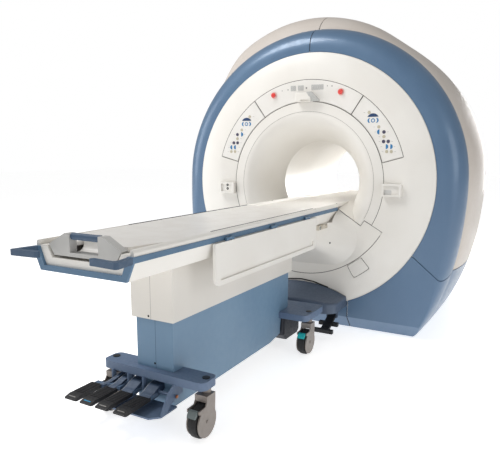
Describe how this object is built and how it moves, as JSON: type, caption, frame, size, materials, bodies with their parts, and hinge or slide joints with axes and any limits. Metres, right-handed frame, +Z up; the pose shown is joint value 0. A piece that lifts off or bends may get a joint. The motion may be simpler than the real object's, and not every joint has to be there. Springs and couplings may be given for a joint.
{
  "type": "mri scanner",
  "caption": "Closed-bore medical imaging scanner: round magnet gantry in moulded covers with a docked height-adjustable patient table on casters.",
  "frame": {"origin": "on the floor at the centre of the magnet's four anchor holes, under the isocentre", "axes": "+Z up, Y along the patient tunnel with the table toward -Y, +X to the right as seen from the table's foot"},
  "size_m": [2.2208, 4.0438, 2.2695],
  "materials": {
    "cover_white": "satin white moulded cover",
    "bezel_blue": "satin metallic slate blue",
    "cover_beige": "satin warm grey beige",
    "vessel_paint": "plain vessel paint",
    "coil_resin": "cast resin",
    "bare_metal": "machined metal",
    "frame_paint": "bent aluminium",
    "stripe_blue": "soft blue trim",
    "dock_blue": "slate blue powder coat",
    "stop_red": "red button",
    "socket_beige": "moulded socket block",
    "column_blue": "satin blue",
    "cradle_white": "satin cradle shell",
    "handle_grey": "grey moulded handle",
    "pedal_black": "black ribbed rubbery plastic",
    "fork_grey": "grey fork",
    "wheel_grey": "warm grey disc with a black tyre",
    "lever_grey": "brake lever"
  },
  "bodies": {
    "gantry": {"magnet_vessel": "vessel_paint", "gradient_coil": "coil_resin", "cold_head": "bare_metal", "bore_liner": "cover_white", "front_bore_flare": "cover_white", "rear_fascia": "cover_white", "front_fascia": "cover_white", "display_panel": "cover_white", "control_panel_left": "cover_white", "control_panel_right": "cover_white", "alignment_light": "cover_white", "port_boxes": "cover_white", "lower_front_cover": "cover_white", "coil_sockets": "socket_beige", "access_flap": "cover_white", "bore_bridge": "cover_white", "bridge_stripes": "stripe_blue", "bezel_upper_left": "bezel_blue", "bezel_upper_right": "bezel_blue", "bezel_lower_left": "bezel_blue", "bezel_lower_right": "bezel_blue", "bezel_bottom": "bezel_blue", "side_cover_left": "cover_beige", "side_cover_right": "cover_beige", "side_skirts": "bezel_blue", "dock_housing": "dock_blue", "cover_frame": "frame_paint"},
    "stop_button_left": {"estop_left": "stop_red"},
    "stop_button_right": {"estop_right": "stop_red"},
    "table_base": {"base_chassis": "dock_blue", "caster_beams": "dock_blue", "lower_column_cover": "column_blue"},
    "table_top": {"lift_ram": "bare_metal", "upper_column_cover": "cover_white", "table_tray": "cover_white", "edge_bumper": "stripe_blue", "push_handles": "stripe_blue"},
    "patient_cradle": {"cradle": "cradle_white", "cradle_handle": "handle_grey", "cradle_grip": "stripe_blue"},
    "guard_left": {"side_guard_left": "cover_white"},
    "guard_right": {"side_guard_right": "cover_white"},
    "dock_lever_left": {"dock_pedal_left": "pedal_black"},
    "dock_lever_right": {"dock_pedal_right": "pedal_black"},
    "pedal_a": {"foot_pedal_a": "pedal_black"},
    "pedal_b": {"foot_pedal_b": "pedal_black"},
    "pedal_c": {"foot_pedal_c": "pedal_black"},
    "pedal_d": {"foot_pedal_d": "pedal_black"},
    "caster_foot_left": {"caster_fork_foot_left": "fork_grey"},
    "roller_foot_left": {"wheel_foot_left": "wheel_grey"},
    "brake_foot_left": {"brake_lever_foot_left": "lever_grey"},
    "caster_foot_right": {"caster_fork_foot_right": "fork_grey"},
    "roller_foot_right": {"wheel_foot_right": "wheel_grey"},
    "brake_foot_right": {"brake_lever_foot_right": "lever_grey"},
    "caster_head_left": {"caster_fork_head_left": "fork_grey"},
    "roller_head_left": {"wheel_head_left": "wheel_grey"},
    "brake_head_left": {"brake_lever_head_left": "lever_grey"},
    "caster_head_right": {"caster_fork_head_right": "fork_grey"},
    "roller_head_right": {"wheel_head_right": "wheel_grey"},
    "brake_head_right": {"brake_lever_head_right": "lever_grey"}
  },
  "joints": [
    {"name": "stop_left_press", "type": "slide", "parent": "gantry", "child": "stop_button_left", "axis": [0, 1, 0], "range_m": [0, 0.005], "stiffness_N_per_m": 900, "springref_m": -0.002},
    {"name": "stop_right_press", "type": "slide", "parent": "gantry", "child": "stop_button_right", "axis": [0, 1, 0], "range_m": [0, 0.005], "stiffness_N_per_m": 900, "springref_m": -0.002},
    {"name": "table_dock", "type": "slide", "parent": "gantry", "child": "table_base", "axis": [0, -1, 0], "range_m": [0, 1.2]},
    {"name": "table_lift", "type": "slide", "parent": "table_base", "child": "table_top", "axis": [0, 0, 1], "range_m": [-0.235, 0]},
    {"name": "cradle_slide", "type": "slide", "parent": "table_top", "child": "patient_cradle", "axis": [0, 1, 0], "range_m": [0, 1.6]},
    {"name": "guard_left_swing", "type": "hinge", "parent": "table_top", "child": "guard_left", "pos_m": [-0.266, -1.912, 0.872], "axis": [0, 1, 0], "range_deg": [0, 175]},
    {"name": "guard_right_swing", "type": "hinge", "parent": "table_top", "child": "guard_right", "pos_m": [0.266, -1.912, 0.872], "axis": [0, -1, 0], "range_deg": [0, 175]},
    {"name": "dock_lever_left_press", "type": "hinge", "parent": "gantry", "child": "dock_lever_left", "pos_m": [-0.27, -0.97, 0.13], "axis": [1, 0, 0], "range_deg": [0, 10], "stiffness_Nm_per_rad": 15, "springref_deg": -20.05},
    {"name": "dock_lever_right_press", "type": "hinge", "parent": "gantry", "child": "dock_lever_right", "pos_m": [0.27, -0.97, 0.13], "axis": [1, 0, 0], "range_deg": [0, 10], "stiffness_Nm_per_rad": 15, "springref_deg": -20.05},
    {"name": "pedal_a_press", "type": "hinge", "parent": "table_base", "child": "pedal_a", "pos_m": [-0.199, -2.657, 0.174], "axis": [1, 0, 0], "range_deg": [0, 8], "stiffness_Nm_per_rad": 15, "springref_deg": -20.05},
    {"name": "pedal_b_press", "type": "hinge", "parent": "table_base", "child": "pedal_b", "pos_m": [-0.159, -2.657, 0.174], "axis": [1, 0, 0], "range_deg": [0, 8], "stiffness_Nm_per_rad": 15, "springref_deg": -20.05},
    {"name": "pedal_c_press", "type": "hinge", "parent": "table_base", "child": "pedal_c", "pos_m": [-0.074, -2.657, 0.174], "axis": [1, 0, 0], "range_deg": [0, 8], "stiffness_Nm_per_rad": 15, "springref_deg": -20.05},
    {"name": "pedal_d_press", "type": "hinge", "parent": "table_base", "child": "pedal_d", "pos_m": [0.031, -2.657, 0.174], "axis": [1, 0, 0], "range_deg": [0, 8], "stiffness_Nm_per_rad": 15, "springref_deg": -20.05},
    {"name": "swivel_foot_left", "type": "hinge", "parent": "table_base", "child": "caster_foot_left", "pos_m": [-0.265, -2.591, 0.2], "axis": [0, 0, 1], "continuous": true},
    {"name": "roll_foot_left", "type": "hinge", "parent": "caster_foot_left", "child": "roller_foot_left", "pos_m": [-0.265, -2.633, 0.08], "axis": [1, 0, 0], "continuous": true},
    {"name": "brake_foot_left_press", "type": "hinge", "parent": "caster_foot_left", "child": "brake_foot_left", "pos_m": [-0.265, -2.691, 0.146], "axis": [1, 0, 0], "range_deg": [0, 9.5]},
    {"name": "swivel_foot_right", "type": "hinge", "parent": "table_base", "child": "caster_foot_right", "pos_m": [0.265, -2.591, 0.2], "axis": [0, 0, 1], "continuous": true},
    {"name": "roll_foot_right", "type": "hinge", "parent": "caster_foot_right", "child": "roller_foot_right", "pos_m": [0.265, -2.633, 0.08], "axis": [1, 0, 0], "continuous": true},
    {"name": "brake_foot_right_press", "type": "hinge", "parent": "caster_foot_right", "child": "brake_foot_right", "pos_m": [0.265, -2.691, 0.146], "axis": [1, 0, 0], "range_deg": [0, 9.5]},
    {"name": "swivel_head_left", "type": "hinge", "parent": "table_base", "child": "caster_head_left", "pos_m": [-0.265, -1.398, 0.2], "axis": [0, 0, 1], "continuous": true},
    {"name": "roll_head_left", "type": "hinge", "parent": "caster_head_left", "child": "roller_head_left", "pos_m": [-0.265, -1.44, 0.08], "axis": [1, 0, 0], "continuous": true},
    {"name": "brake_head_left_press", "type": "hinge", "parent": "caster_head_left", "child": "brake_head_left", "pos_m": [-0.265, -1.498, 0.146], "axis": [1, 0, 0], "range_deg": [0, 9.5]},
    {"name": "swivel_head_right", "type": "hinge", "parent": "table_base", "child": "caster_head_right", "pos_m": [0.265, -1.398, 0.2], "axis": [0, 0, 1], "continuous": true},
    {"name": "roll_head_right", "type": "hinge", "parent": "caster_head_right", "child": "roller_head_right", "pos_m": [0.265, -1.44, 0.08], "axis": [1, 0, 0], "continuous": true},
    {"name": "brake_head_right_press", "type": "hinge", "parent": "caster_head_right", "child": "brake_head_right", "pos_m": [0.265, -1.498, 0.146], "axis": [1, 0, 0], "range_deg": [0, 9.5]}
  ]
}
